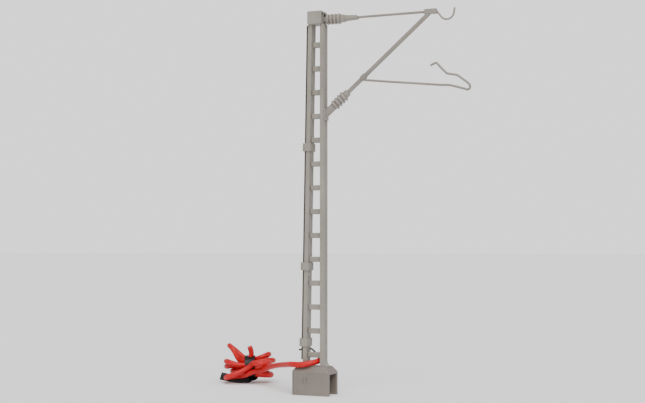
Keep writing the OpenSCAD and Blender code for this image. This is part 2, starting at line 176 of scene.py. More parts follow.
def from_hank(points):
    """Points in the hank's own axes (along, to the back, up from its middle), in the frame."""
    return HANK_MIDDLE + np.atleast_2d(points) @ HANK_AXES


def teardrop(side, rise, swing, reach, enter, half_width, leave):
    """One loop from its strand's place in the waist to the next one's, and the point of its far end."""
    up, back = math.radians(rise), math.radians(swing)
    ahead = np.array([side * math.cos(up), 0, math.sin(up)])
    behind = np.array([0, math.cos(LOOP_LEAN), -math.sin(LOOP_LEAN)])
    behind = behind - ahead * (behind @ ahead)
    behind /= np.linalg.norm(behind)
    way = math.cos(back) * ahead + math.sin(back) * behind
    across = -math.sin(back) * ahead + math.cos(back) * behind
    enter, leave = np.array([0, *enter]), np.array([0, *leave])
    hand = 1 if (enter - leave) @ across >= 0 else -1
    points = []
    for t in np.linspace(0, 1, LOOP_POINTS)[1:-1]:
        out = math.sin(math.pi * t) ** BLUNT
        root = (enter * (1 - t) + leave * t) * max(0, 1 - ROOT_FADES * out)
        points.append(way * reach * out + across * hand * half_width * math.sin(2 * math.pi * t) + root)
    return points, way * reach


hank, in_waist, far_ends = [], [], []
for loop, following in zip(LOOPS, [*LOOPS[1:], None]):
    in_waist.append(len(hank))
    hank.append((0, *loop[4]))
    points, far_end = teardrop(*loop, following[4] if following else LAST_PLACE)
    far_ends.append((len(hank) + len(points) // 2, far_end))
    hank += points
in_waist.append(len(hank))
hank += [(0, *LAST_PLACE), *FREE_END]
far_ends += [(len(hank) - back, np.array(FREE_END[-back])) for back in (1, 3)]
laid_out = np.vstack([free_stretch, from_hank(INTO_WAIST), from_hank(hank)])
print("laid out:", len(in_waist), "strands at the waist,", round(length_of(laid_out), 1), "mm of lead")

# %% [markdown]
# Teardrops drawn on paper would cut through each other, so the layout is settled as real lead would
# settle: a chain of evenly spaced points that resists sharp bends, stays inside the tie at the waist, keeps
# off the floor, and pushes itself away wherever two stretches come closer than its thickness. A rigid body
# or cloth simulation could do it too, but this chain is quick and always ends the same.

# %% A chain of points
STEP = 0.25


def evenly(points, step):
    """The line with evenly spaced points, and where each old point went."""
    far = np.concatenate([[0], np.cumsum(np.linalg.norm(np.diff(points, axis=0), axis=1))])
    at = np.linspace(0, far[-1], int(round(far[-1] / step)) + 1)
    line = np.stack([np.interp(at, far, points[:, k]) for k in range(3)], 1)
    return line, [int(np.argmin(abs(at - f))) for f in far]


even, moved_to = evenly(laid_out, STEP)
print("chain:", len(even), "points,", STEP, "mm apart")

# %% [markdown]
# Three things act on the chain wherever it is. It eases a bend that is tighter than soft lead likes, it
# pushes apart stretches that lie in each other, and it pulls its points back to their spacing. Each acts by
# a share of what is wrong, so that many small turns agree in the end.

# %% What acts on the lead
GENTLE_BEND = 1.1
MIDDLE_EASES, SIDES_EASE = 0.66, 0.33
KEPT_APART = LEAD_ACROSS * 1.02
PUSH, PUSH_HARDER = 0.4, 1.3
PULL = 0.4
TINY = 1e-9


def straighten(p, move, reach, share):
    """Adds to move what eases a bend that is tighter than the lead likes, over reach steps each way."""
    off = p[reach:-reach] - (p[:-2 * reach] + p[2 * reach:]) / 2
    size = np.linalg.norm(off, axis=1)
    allowed = (reach * STEP) ** 2 / (2 * GENTLE_BEND)
    ease = off * (np.maximum(size - allowed, 0) / np.maximum(size, TINY) * share)[:, None]
    move[reach:-reach] -= ease * MIDDLE_EASES
    move[:-2 * reach] += ease * SIDES_EASE
    move[2 * reach:] += ease * SIDES_EASE


def push_apart(p, first, second):
    """Moves stretches of lead that lie closer than its thickness away from each other."""
    gap = p[first] - p[second]
    square = np.einsum("ij,ij->i", gap, gap)
    close = square < KEPT_APART ** 2
    if not close.any():
        return p
    i, j, gap, far = first[close], second[close], gap[close], np.sqrt(square[close])
    push = gap / np.maximum(far, TINY)[:, None] * ((KEPT_APART - far) * PUSH)[:, None]
    move, count = np.zeros_like(p), np.zeros(len(p))
    np.add.at(move, i, push)
    np.add.at(move, j, -push)
    np.add.at(count, i, 1)
    np.add.at(count, j, 1)
    return p + move / np.maximum(count, 1)[:, None] * PUSH_HARDER


def keep_lengths(p):
    """Pulls or pushes neighbours towards one step apart, first the even pairs and then the odd ones."""
    for first in (0, 1):
        a, b = p[first:-1:2], p[first + 1::2]
        many = min(len(a), len(b))
        way = b[:many] - a[:many]
        far = np.linalg.norm(way, axis=1)
        shift = way * ((far - STEP) / np.maximum(far, TINY) * PULL)[:, None]
        p[first:first + 2 * many:2] += shift
        p[first + 1:first + 1 + 2 * many:2] -= shift


print("the lead eases bends under", GENTLE_BEND, "mm in radius and keeps", round(KEPT_APART, 3),
      "mm from itself")

# %% [markdown]
# The tie holds each strand near its own place. A strand that goes through stays inside the band, and one
# that crosses over stays in front of it. Contact with a modelled band could hold them too, but a place for
# each strand keeps their order. After the settling, a few passes take out the last wrinkles. They shorten the
# lead by about a tenth.

# %% The tie holds the strands
WAIST_ROOM = 0.88
WAIST_OPENS = 0.12
BESIDE = 2
BACK_ALONG, BACK_TO_PLACE = 0.5, 0.3
IRONING_PASSES = 4


def keep_in_waist(p, middle, place, along):
    """Holds one strand near its place, inside the tie or over it."""
    held = slice(middle - BESIDE, middle + BESIDE + 1)
    q = (p[held] - HANK_MIDDLE) @ HANK_AXES.T
    q[:, 0] += (along - q[BESIDE, 0]) * BACK_ALONG
    room = np.full(2 * BESIDE + 1, WAIST_ROOM)
    room[[0, -1]] += WAIST_OPENS
    from_axis = np.maximum(np.hypot(q[:, 1], q[:, 2]), TINY)
    inside = math.hypot(*place) < OVER_TIE
    closer = np.minimum(1, room / from_axis) if inside else np.maximum(1, OVER_TIE / from_axis)
    q[:, 1:] *= closer[:, None]
    q[BESIDE, 1:] += (np.array(place) - q[BESIDE, 1:]) * BACK_TO_PLACE
    p[held] = q @ HANK_AXES + HANK_MIDDLE


def iron_out(p, fixed, passes):
    """Takes the last small wrinkles out of the settled line and spaces its points evenly again."""
    for _ in range(passes):
        p[fixed:-1] = p[fixed:-1] / 2 + (p[fixed - 1:-2] + p[fixed + 1:]) / 4
    return evenly(p, STEP)[0]


print("strands reach", round(WAIST_ROOM + LEAD_ACROSS / 2, 2), "mm from the tie's middle")

# %% [markdown]
# In each turn the lead bends, remembers a little of the shape it was laid out in, is held by the tie, keeps
# off itself and off the floor, and takes its length back. It remembers less towards the end, so that what
# is left is what the lead itself does. The stretch over the foot is fixed, as it follows the CAD's route.

# %% The lead settles
SETTLING_TURNS = 1200
# shares of the settling
LOOSE_UNTIL, ENDS_UNTIL, SHAPED_UNTIL = 0.6, 0.7, 0.75
# how far along the chain a bend is felt, in steps, and the share of it that one turn eases
SHORT_REACH, LONG_REACH = 2, 4
SHORT_STIFFNESS, LOOSE_STIFFNESS, LONG_STIFFNESS = 0.8, 0.3, 0.9
SMOOTH, SMOOTHER = 0.35, 0.2
# the share of the way back to the laid-out shape in one turn
REMEMBERED = 0.03
END_HELD, END_LET_GO = 0.1, 0.01
PUSHES, PULLS = 2, 4
# in points: neighbours that may be close, the free end, the moving end of the free stretch
OWN_STRETCH, UNSHAPED_AT_END, SETTLING_FROM = 5, 8, 6
# in millimetres
OUTSIDE_WAIST, LAST_STRAND_ALONG = 1.9, -0.3
LOWEST_MIDDLE = LEAD_ACROSS / 2 + 0.02


def settle(points, waist, ends, fixed):
    """The line as the lead comes to rest. waist, ends and fixed say which of its points are held."""
    start, p = points.copy(), points.copy()
    first, second = np.triu_indices(len(p), OWN_STRETCH)
    out = np.linalg.norm(p - HANK_MIDDLE, axis=1)
    number = np.arange(len(p))
    shaped = (out > OUTSIDE_WAIST) & (number > fixed) & (number < len(p) - UNSHAPED_AT_END)
    places = [loop[4] for loop in LOOPS] + [LAST_PLACE]
    for turn in range(SETTLING_TURNS):
        done = turn / SETTLING_TURNS
        move = np.zeros_like(p)
        straighten(p, move, SHORT_REACH, SHORT_STIFFNESS)
        straighten(p, move, LONG_REACH, LOOSE_STIFFNESS if done < LOOSE_UNTIL else LONG_STIFFNESS)
        move[1:-1] += ((p[:-2] + p[2:]) / 2 - p[1:-1]) * SMOOTH
        move[2:-2] += ((4 * (p[1:-3] + p[3:-1]) - (p[:-4] + p[4:])) / 6 - p[2:-2]) * SMOOTHER
        p = p + move
        p[shaped] += (start[shaped] - p[shaped]) * (REMEMBERED if done < SHAPED_UNTIL else 0)
        for at, end in ends:
            p[at] += (end - p[at]) * (END_HELD if done < ENDS_UNTIL else END_LET_GO)
        for middle, place in zip(waist, places):
            keep_in_waist(p, middle, place, LAST_STRAND_ALONG if middle == waist[-1] else 0)
        for _ in range(PUSHES):
            p = push_apart(p, first, second)
        p[:, 2] = np.maximum(p[:, 2], LOWEST_MIDDLE)
        for _ in range(PULLS):
            keep_lengths(p)
        p[:fixed] = start[:fixed]
    return iron_out(p, fixed, IRONING_PASSES)


hank_starts = len(free_stretch) + len(INTO_WAIST)
lead_line = settle(
    even,
    [moved_to[i + hank_starts] for i in in_waist],
    [(moved_to[i + hank_starts], from_hank([end])[0]) for i, end in far_ends],
    moved_to[len(free_stretch) - SETTLING_FROM],
)
steps_taken = np.diff(lead_line, axis=0)
steps_taken /= np.linalg.norm(steps_taken, axis=1)[:, None]

# %% [markdown]
# The lead itself is one open curve with a round bevel, the simplest true tube Blender has. The bevel is
# 1 mm and each point's own radius brings it down to the wire's, because Blender works out a curve's box
# from the points' radii. The far end is cut off square, as cutters leave it, and shows a copper disc.

# %% The lead as a curve
COPPER_ACROSS = 0.24
COPPER_INSIDE, COPPER_SHOWS = 0.1, 0.015


def wire_curve(name, points, across, sides=12):
    """A round wire along the points, in millimetres."""
    data = bpy.data.curves.new(name, "CURVE")
    data.dimensions = "3D"
    data.bevel_depth = 1
    data.bevel_resolution = sides // 2 - 2
    data.use_fill_caps = True
    spline = data.splines.new("POLY")
    spline.points.add(len(points) - 1)
    for curve_point, point in zip(spline.points, points):
        curve_point.co = (*point, 1)
        curve_point.radius = across / 2
    spline.use_smooth = True
    piece = bpy.data.objects.new(name, data)
    piece.scale = (MM, MM, MM)
    bpy.context.scene.collection.objects.link(piece)
    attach(piece, "root")
    return piece


lead = wire_curve("feed_lead_cord", lead_line, LEAD_ACROSS, sides=16)
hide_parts("feed_lead", "feed_lead_hank")

copper_way = lead_line[-1] - lead_line[-2]
copper_way /= np.linalg.norm(copper_way)
copper_line = [lead_line[-1] - COPPER_INSIDE * copper_way, lead_line[-1] + COPPER_SHOWS * copper_way]
copper = wire_curve("lead_copper_end", copper_line, COPPER_ACROSS)

# %% [markdown]
# The foot, the columns and the battens are moulded in one tool, and no moulding has knife edges: the melt
# rounds them by a few hundredths of a millimetre. Each CAD shape is copied, its flat facets are joined
# back into whole faces, and a Bevel modifier rounds only the edges where two faces really meet. Copying
# the CAD shape keeps every size exactly, which drawing it again wouldn't.

# %% Softened copies of the moulded shapes
SAME_POINT = 0.001
SAME_FACE = math.radians(1)
REAL_EDGE = math.radians(35)


def add_piece(name, shape, nodes, sharp=40):
    """A piece made from a bmesh in millimetres. It stands for the CAD nodes, which it hides."""
    data = bpy.data.meshes.new(name)
    shape.to_mesh(data)
    shape.free()
    data.shade_smooth()
    data.set_sharp_from_angle(angle=math.radians(sharp))
    piece = bpy.data.objects.new(name, data)
    piece.scale = (MM, MM, MM)
    bpy.context.scene.collection.objects.link(piece)
    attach(piece, "root")
    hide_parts(*nodes)
    return piece


def softened(node, edge):
    """A copy of one CAD node with its edges rounded by edge millimetres."""
    shape = bmesh.new()
    shape.from_mesh(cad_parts[node].data)
    bmesh.ops.scale(shape, vec=(1 / MM, 1 / MM, 1 / MM), verts=shape.verts)
    bmesh.ops.remove_doubles(shape, verts=shape.verts, dist=SAME_POINT)
    bmesh.ops.dissolve_limit(shape, angle_limit=SAME_FACE, verts=shape.verts, edges=shape.edges)
    piece = add_piece("soft_" + node, shape, [node])
    rounding = piece.modifiers.new("rounding", "BEVEL")
    rounding.width = edge
    rounding.segments = 3
    rounding.limit_method = "ANGLE"
    rounding.angle_limit = REAL_EDGE
    rounding.miter_outer = "MITER_ARC"
    even_light = piece.modifiers.new("even_light", "WEIGHTED_NORMAL")
    even_light.keep_sharp = True
    return piece


battens = sorted(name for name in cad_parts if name.startswith("batten_"))
FOOT_EDGES = {"foot": 0.07, "foot_floor": 0.04}
MAST_EDGES = {
    "upright_column": 0.06, "leaning_column": 0.06, **dict.fromkeys(battens, 0.07),
    "cap": 0.08, "cap_peg": 0.03, "clip_lower": 0.03, "clip_middle": 0.03, "clip_upper": 0.03,
}
foot = [softened(name, edge) for name, edge in FOOT_EDGES.items()]
mast = [softened(name, edge) for name, edge in MAST_EDGES.items()]
print("moulded:", len(foot), "pieces of the foot and", len(mast), "of the mast,", len(battens), "battens")

# %% [markdown]
# Two blocks of the arm are softened copies too: the bar at the cap and the fitting at the arm's end. They
# are moulded like the mast, and their plain shapes need nothing more.

# %% The arm's blocks
ARM_EDGE = 0.05
arm = [softened(name, ARM_EDGE) for name in ("arm_bar", "end_fitting")]
print("arm blocks:", [piece.name for piece in arm])

# %% [markdown]
# Insulators, ferrule, tubes and rods are round. Turning a profile round an axis, as a lathe does, gives
# them true round ribs, which a bevelled copy of the CAD's faceted ribs can't.

# %% Turned pieces
TURNED_SIDES = 40
RIB_PITCH = 0.42
RIB_RADIUS = 0.57
CORE_RADIUS = 0.37
RIB_HALF = 0.36 * RIB_PITCH
RIB_FULLNESS = 0.62


def turn_profile(shape, profile, start, way):
    """Adds a solid turned from (distance along, radius) pairs about the line from start."""
    way = Vector(way).normalized()
    side = way.cross(Vector((0, 1, 0))).normalized()
    other = way.cross(side)
    rings = []
    for along, radius in profile:
        turns = [2 * math.pi * k / TURNED_SIDES for k in range(TURNED_SIDES)]
        rings.append([shape.verts.new(Vector(start) + way * along
                                      + radius * (math.cos(a) * side + math.sin(a) * other))
                      for a in turns])
    for ring, following in zip(rings, rings[1:]):
        for k in range(TURNED_SIDES):
            after = (k + 1) % TURNED_SIDES
            shape.faces.new((ring[k], ring[after], following[after], following[k]))
    shape.faces.new(rings[0][::-1])
    shape.faces.new(rings[-1])


def rounded_ends(length, radius, edge, tip=None):
    """A plain rod's profile with rounded edges. tip is its far radius when it tapers."""
    tip = radius if tip is None else tip
    arc = [(math.sin(a), math.cos(a)) for a in np.linspace(0, math.pi / 2, 4)]
    return ([(edge * (1 - c), radius - edge * (1 - s)) for s, c in arc]
            + [(length - edge * (1 - c), tip - edge * (1 - s)) for s, c in reversed(arc)])


def ribs_profile(count):
    """An insulator's ribs, each a rounded ring on the core."""
    profile = [(0, CORE_RADIUS)]
    for i in range(count):
        middle = (i + 0.5) * RIB_PITCH
        for a in np.linspace(math.pi, 0, 11):
            out = math.sin(a) ** RIB_FULLNESS if 0 < a < math.pi else 0
            profile.append((middle + RIB_HALF * math.cos(a),
                            CORE_RADIUS + (RIB_RADIUS - CORE_RADIUS) * out))
    return profile + [(count * RIB_PITCH, CORE_RADIUS)]


print("turned pieces: profiles ready, one rib has", len(ribs_profile(1)), "points")

# %% [markdown]
# The top arm from the cap outwards: four ribs, a square block, a tapered ferrule with a slanted end, and
# the thin rod. The slanted end is cut with a plane, as a knife would cut it, which leaves a flat face where
# a sheared cylinder would leave a bent one. Where each piece starts and ends is read from the CAD's boxes.

# %% The top arm
RIBS = 4
BLOCK_EDGE = 0.06
FERRULE_RADIUS, FERRULE_TIP, FERRULE_EDGE = 0.34, 0.25, 0.05
CUT_BELOW, CUT_SLANT = 0.13, math.radians(30)
ROD_RADIUS, ROD_EDGE = 0.13, 0.02
ROD_IN_FERRULE, ROD_IN_FITTING = 0.3, 0.2
OUTWARD = (1, 0, 0)


def add_block(shape, middle, sides, edge):
    """Adds a block with rounded edges."""
    corners = bmesh.ops.create_cube(shape, size=1)["verts"]
    for corner in corners:
        corner.co = Vector(middle) + Vector([c * side for c, side in zip(corner.co, sides)])
    edges = list(dict.fromkeys(line for corner in corners for line in corner.link_edges))
    bmesh.ops.bevel(shape, geom=edges, offset=edge, segments=3, profile=0.5, affect="EDGES")


def cut_off(shape, at, facing):
    """Cuts off what lies beyond a plane, on the side it faces, and closes the cut."""
    bmesh.ops.bisect_plane(shape, geom=shape.verts[:] + shape.edges[:] + shape.faces[:],
                           plane_co=at, plane_no=facing, clear_outer=True)
    bmesh.ops.holes_fill(shape, edges=[edge for edge in shape.edges if edge.is_boundary])


insulator_low, insulator_high = (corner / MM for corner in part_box("top_insulator"))
ferrule_low, ferrule_high = (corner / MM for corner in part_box("ferrule"))
rod_low, rod_high = (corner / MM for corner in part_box("top_rod"))
arm_height = (rod_low.z + rod_high.z) / 2

shape = bmesh.new()
turn_profile(shape, ribs_profile(RIBS), (insulator_low.x, 0, arm_height), OUTWARD)
add_block(shape, (insulator_high.x - RIB_PITCH / 2, 0, arm_height),
          (RIB_PITCH, 2 * CORE_RADIUS, 2 * CORE_RADIUS), BLOCK_EDGE)
arm.append(add_piece("turned_top_insulator", shape, ["top_insulator"]))

shape = bmesh.new()
ferrule_profile = rounded_ends(ferrule_high.x - ferrule_low.x, FERRULE_RADIUS, FERRULE_EDGE, FERRULE_TIP)
turn_profile(shape, ferrule_profile, (ferrule_low.x, 0, arm_height), OUTWARD)
cut_off(shape, (ferrule_high.x, 0, arm_height - CUT_BELOW), (math.cos(CUT_SLANT), 0, math.sin(CUT_SLANT)))
arm.append(add_piece("turned_ferrule", shape, ["ferrule"]))

shape = bmesh.new()
rod_long = rod_high.x - rod_low.x + ROD_IN_FERRULE + ROD_IN_FITTING
turn_profile(shape, rounded_ends(rod_long, ROD_RADIUS, ROD_EDGE),
             (rod_low.x - ROD_IN_FERRULE, 0, arm_height), OUTWARD)
arm.append(add_piece("turned_top_rod", shape, ["top_rod"]))
print("top arm: from x =", round(insulator_low.x, 2), "to", round(rod_high.x, 2), "at height",
      round(arm_height, 2))

# %% [markdown]
# The strut leans from the upright column up to the end fitting, and carries the arm's weight. Its foot is a
# pad with a short sleeve, then come four ribs and a collar, the tube, and the small sleeve that grips the
# steady arm. All of it is turned about one slanted line, so the pieces can't get out of line.

# %% The strut
STRUT_FOOT = Vector((1.27, 0, 29.7))
STRUT_TOP = Vector((12.68, 0, 39.49))
PAD_SIZE, PAD_EDGE = (0.14, 1.1, 1.3), 0.05
SLEEVE_LONG, SLEEVE_RADIUS, SLEEVE_EDGE = 1.3, 0.4, 0.03
SLEEVE_OFF_COLUMN = 0.02
COLLAR_RADIUS, COLLAR_EDGE = 0.39, 0.05
TUBE_RADIUS, TUBE_EDGE = 0.23, 0.02
SADDLE_UP_TUBE, SADDLE_LONG, SADDLE_RADIUS, SADDLE_EDGE = 2.3, 0.62, 0.31, 0.05
JOINED = 0.1
strut_way = (STRUT_TOP - STRUT_FOOT).normalized()
strut_long = (STRUT_TOP - STRUT_FOOT).length
tube_start = SLEEVE_LONG + (RIBS + 1) * RIB_PITCH
saddle_at = tube_start + SADDLE_UP_TUBE

shape = bmesh.new()
turn_profile(shape, rounded_ends(SLEEVE_LONG + JOINED, SLEEVE_RADIUS, SLEEVE_EDGE),
             STRUT_FOOT - strut_way * JOINED, strut_way)
cut_off(shape, (STRUT_FOOT.x + SLEEVE_OFF_COLUMN, 0, 0), (-1, 0, 0))
add_block(shape, (STRUT_FOOT.x + PAD_SIZE[0] / 2, 0, STRUT_FOOT.z), PAD_SIZE, PAD_EDGE)
arm.append(add_piece("strut_foot_pad", shape, ["strut_foot_lug"]))

shape = bmesh.new()
turn_profile(shape, ribs_profile(RIBS), STRUT_FOOT + strut_way * SLEEVE_LONG, strut_way)
turn_profile(shape, rounded_ends(RIB_PITCH, COLLAR_RADIUS, COLLAR_EDGE),
             STRUT_FOOT + strut_way * (tube_start - RIB_PITCH), strut_way)
arm.append(add_piece("turned_strut_insulator", shape, ["strut_insulator"]))

shape = bmesh.new()
turn_profile(shape, rounded_ends(strut_long - tube_start + 2 * JOINED, TUBE_RADIUS, TUBE_EDGE),
             STRUT_FOOT + strut_way * (tube_start - JOINED), strut_way)
arm.append(add_piece("turned_strut_tube", shape, ["strut_tube"]))

shape = bmesh.new()
turn_profile(shape, rounded_ends(SADDLE_LONG, SADDLE_RADIUS, SADDLE_EDGE),
             STRUT_FOOT + strut_way * (saddle_at - SADDLE_LONG / 2), strut_way)
arm.append(add_piece("turned_saddle", shape, ["steady_arm_saddle"]))
print("strut:", round(strut_long, 2), "mm long, leaning",
      round(math.degrees(math.asin(strut_way.z)), 1), "degrees")

# %% [markdown]
# The hook and the steady arm look like bent wires, each of one even thickness, in the arm's plastic. A
# curve with a round bevel follows the bends, and a smooth line through the bend points gives them a wire's
# soft corners, which cylinders set end to end wouldn't have.

# %% Hook and steady arm
HOOK_THICK = 0.21
HOOK_START = 13.6
HOOK_JOINED, HOOK_SHANK, HOOK_TIP = 0.15, 0.8, 0.5
HOOK_BEND = 0.75
BEND_FROM, BEND_TO, BEND_POINTS = math.radians(218), math.radians(352), 24


def bend_out(angle):
    """The way out from a bend's middle at an angle, in the arm's upright plane."""
    return Vector((math.cos(angle), 0, math.sin(angle)))


def bend_on(angle):
    """The way on along a bend at an angle."""
    return Vector((-math.sin(angle), 0, math.cos(angle)))


hook_start = Vector((HOOK_START, 0, arm_height))
hook_middle = hook_start + bend_on(BEND_FROM) * HOOK_SHANK - HOOK_BEND * bend_out(BEND_FROM)
hook_line = [hook_start - bend_on(BEND_FROM) * HOOK_JOINED]
hook_line += [hook_middle + HOOK_BEND * bend_out(a) for a in np.linspace(BEND_FROM, BEND_TO, BEND_POINTS)]
hook_line.append(hook_line[-1] + HOOK_TIP * bend_on(BEND_TO))
hook = wire_curve("bent_wire_hook", hook_line, HOOK_THICK)
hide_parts("wire_hook")

STEADY_THICK = 0.24
STEADY_STEPS = 8
# the steady arm's bend points, outward and up from the sleeve that grips it
STEADY_BENDS = [
    (0.1, -0.3), (2.8, -0.62), (5.6, -0.93), (8.35, -1.24), (9.4, -1.33), (10.85, -1.74), (11.3, -1.86),
    (11.5, -1.6), (11.34, -1.24), (10.33, -0.46), (10.05, -0.31), (9.3, -0.16), (8.97, -0.01),
    (8.43, 0.54), (8.05, 0.95), (7.86, 1.03), (7.34, 0.81),
]
saddle = STRUT_FOOT + strut_way * saddle_at
steady_line = flowing([(saddle.x + out, 0, saddle.z + up) for out, up in STEADY_BENDS], STEADY_STEPS)
steady = wire_curve("bent_steady_arm", steady_line, STEADY_THICK)
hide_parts("steady_arm")
arm += [hook, steady]
print("hook:", len(hook_line), "points; steady arm:", round(length_of(steady_line), 1), "mm")

# %% [markdown]
# A dark feed wire runs down the leaning column. At the bottom a thinner tail bends round behind the column
# and meets the lead at a small bead of solder. The wires are curves like the lead, and the bead is turned:
# solder draws itself into a round drop along the wire that it holds.

# %% Feed wire, tail and solder
TAIL_THICK = 0.2
TAIL_STEPS = 5
TAIL_ROUTE = [
    (-1.66, -0.2, 4.7), (-1.64, 0.15, 4.72), (-1.5, 0.5, 4.75), (-1.2, 0.7, 4.8), (-0.85, 0.7, 4.82),
    (-0.5, 0.62, 4.7), (-0.15, 0.52, 4.45), (0.15, 0.45, 4.15), (0.38, 0.42, 3.92),
]
FEED_THICK = 0.32
ENDS_INSIDE = 0.01
BEAD_PROFILE = [
    (-0.05, 0.17), (0.0, 0.21), (0.05, 0.225), (0.11, 0.22), (0.17, 0.19), (0.22, 0.14), (0.26, 0.07),
]
tail = wire_curve("bent_wire_tail", flowing(TAIL_ROUTE, TAIL_STEPS), TAIL_THICK)
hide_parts("wire_tail")

feed_low, feed_high = (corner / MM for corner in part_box("feed_wire"))
feed_across = (feed_low.y + feed_high.y) / 2
feed_line = [(feed_low.x + FEED_THICK / 2, feed_across, feed_low.z + ENDS_INSIDE),
             (feed_high.x - FEED_THICK / 2, feed_across, feed_high.z - ENDS_INSIDE)]
feed = wire_curve("drawn_feed_wire", feed_line, FEED_THICK, sides=20)
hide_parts("feed_wire")

bead_start = Vector(free_stretch[0])
shape = bmesh.new()
turn_profile(shape, BEAD_PROFILE, bead_start, Vector(free_stretch[0] - free_stretch[1]))
solder_bead = add_piece("solder_bead", shape, ["solder_joint"])
print("dark wires and a solder bead at", [round(c, 2) for c in bead_start])

# %% [markdown]
# A twist tie is a flat plastic strip with a thin wire inside, which shows as a ridge down its middle. A
# strip like this is a cross-section carried along a line, with a chosen direction for its width at every
# point. A curve's own tilt could do the same, but it is hard to steer where the strip turns on edge.

# %% A ridged strip
TIE_WIDE = 1.15
TIE_THICK = 0.1
# the strip's section, across in widths and up in thicknesses
TIE_SECTION = [
    (-0.5, 0.35), (-0.44, 0.5), (-0.12, 0.5), (-0.06, 1.25), (0, 1.4), (0.06, 1.25), (0.12, 0.5),
    (0.44, 0.5), (0.5, 0.35), (0.5, -0.35), (0.44, -0.5), (0.12, -0.5), (0, -0.8), (-0.12, -0.5),
    (-0.44, -0.5), (-0.5, -0.35),
]


def strip(shape, line, width_ways, narrow=1.0):
    """Adds a ridged strip along the line. width_ways give the direction of its width at each point."""
    rings = []
    for i, (point, across) in enumerate(zip(line, width_ways)):
        way = Vector(line[min(i + 1, len(line) - 1)]) - Vector(line[max(i - 1, 0)])
        way.normalize()
        across = Vector(across) - way * way.dot(Vector(across))
        across.normalize()
        up = across.cross(way)
        rings.append([shape.verts.new(Vector(point) + across * x * TIE_WIDE * narrow + up * y * TIE_THICK)
                      for x, y in TIE_SECTION])
    count = len(TIE_SECTION)
    for ring, following in zip(rings, rings[1:]):
        for k in range(count):
            after = (k + 1) % count
            shape.faces.new((ring[k], following[k], following[after], ring[after]))
    shape.faces.new(rings[0])
    shape.faces.new(rings[-1][::-1])


print("strip:", TIE_WIDE, "mm wide, ridge", round(TIE_THICK * TIE_SECTION[4][1], 2), "mm high")

# %% [markdown]
# One turn of the tie goes round the hank's waist. Its two ends are pressed together under the hank and run
# out to the sides almost on edge, the long one to the left. Routes and width directions are given along,
# to the back and up in the hank's own axes.

# %% The twist tie
WAIST_RADIUS = 1.24
BAND_FROM, BAND_TO, BAND_POINTS = math.radians(-80), math.radians(272), 56
BAND_SWAY = 0.05
LONG_TAIL = [
    (0.3, -0.3, -1.2), (0.05, -0.25, -1.36), (-0.5, -0.1, -1.42), (-1.2, 0.0, -1.44),
    (-2.0, 0.15, -1.38), (-2.8, 0.35, -1.24), (-3.4, 0.5, -1.12),
]
LONG_TAIL_WIDTH = [
    (0.3, 1, 0.3), (0.2, 0.5, 0.8), (0, 0.35, 1), (0, 0.3, 1), (0, 0.35, 1), (0, 0.4, 1), (0, 0.4, 1),
]
SHORT_TAIL = [(-0.1, -0.2, -1.28), (0.2, -0.3, -1.36), (0.55, -0.35, -1.25), (0.85, -0.4, -1.05)]
SHORT_TAIL_WIDTH = [(0.3, 1, 0.1), (0.2, 0.9, 0.5), (0.2, 0.7, 0.7), (0.3, 0.6, 0.7)]
LONG_NARROW, SHORT_NARROW = 0.78, 0.7
STRIP_STEPS = 6

tie_shape = bmesh.new()
turns = np.linspace(BAND_FROM, BAND_TO, BAND_POINTS)
band = from_hank([(BAND_SWAY * math.sin(2 * a), WAIST_RADIUS * math.cos(a), WAIST_RADIUS * math.sin(a))
                  for a in turns])
strip(tie_shape, band, [HANK_AXES[0]] * len(band))
for line, width_ways, narrow in ((LONG_TAIL, LONG_TAIL_WIDTH, LONG_NARROW),
                                 (SHORT_TAIL, SHORT_TAIL_WIDTH, SHORT_NARROW)):
    strip(tie_shape, flowing(from_hank(line), STRIP_STEPS),
          flowing(np.array(width_ways) @ HANK_AXES, STRIP_STEPS), narrow)
tie = add_piece("twist_tie", tie_shape, ["hank_tie"], sharp=60)
print("twist tie:", len(tie.data.polygons), "faces, lowest point",
      round(min(v.co.z for v in tie.data.vertices), 3), "mm")

# %% [markdown]
# Every finish here is the same recipe with different amounts: soft patches of colour, as the pigment never
# mixes perfectly; a fine grain, left by the mould or by handling, in the colour and in the bump; and a
# gloss that varies a little with the patches. Object coordinates are in millimetres on these pieces, so all
# sizes are real ones. Values that don't vary are set on the shader's own sockets.

# %% A finish from patches and grain
PATCH_DETAIL, PATCH_ROUGHNESS = 3, 0.55
GRAIN_DETAIL, GRAIN_ROUGHNESS = 4, 0.6
GRAIN_IN_COLOUR = 0.45
DARK_AT, LIGHT_AT = 0.5, 0.98
GLOSS_FROM, GLOSS_TO = 0.3, 0.7
BUMP_STRENGTH = 0.6


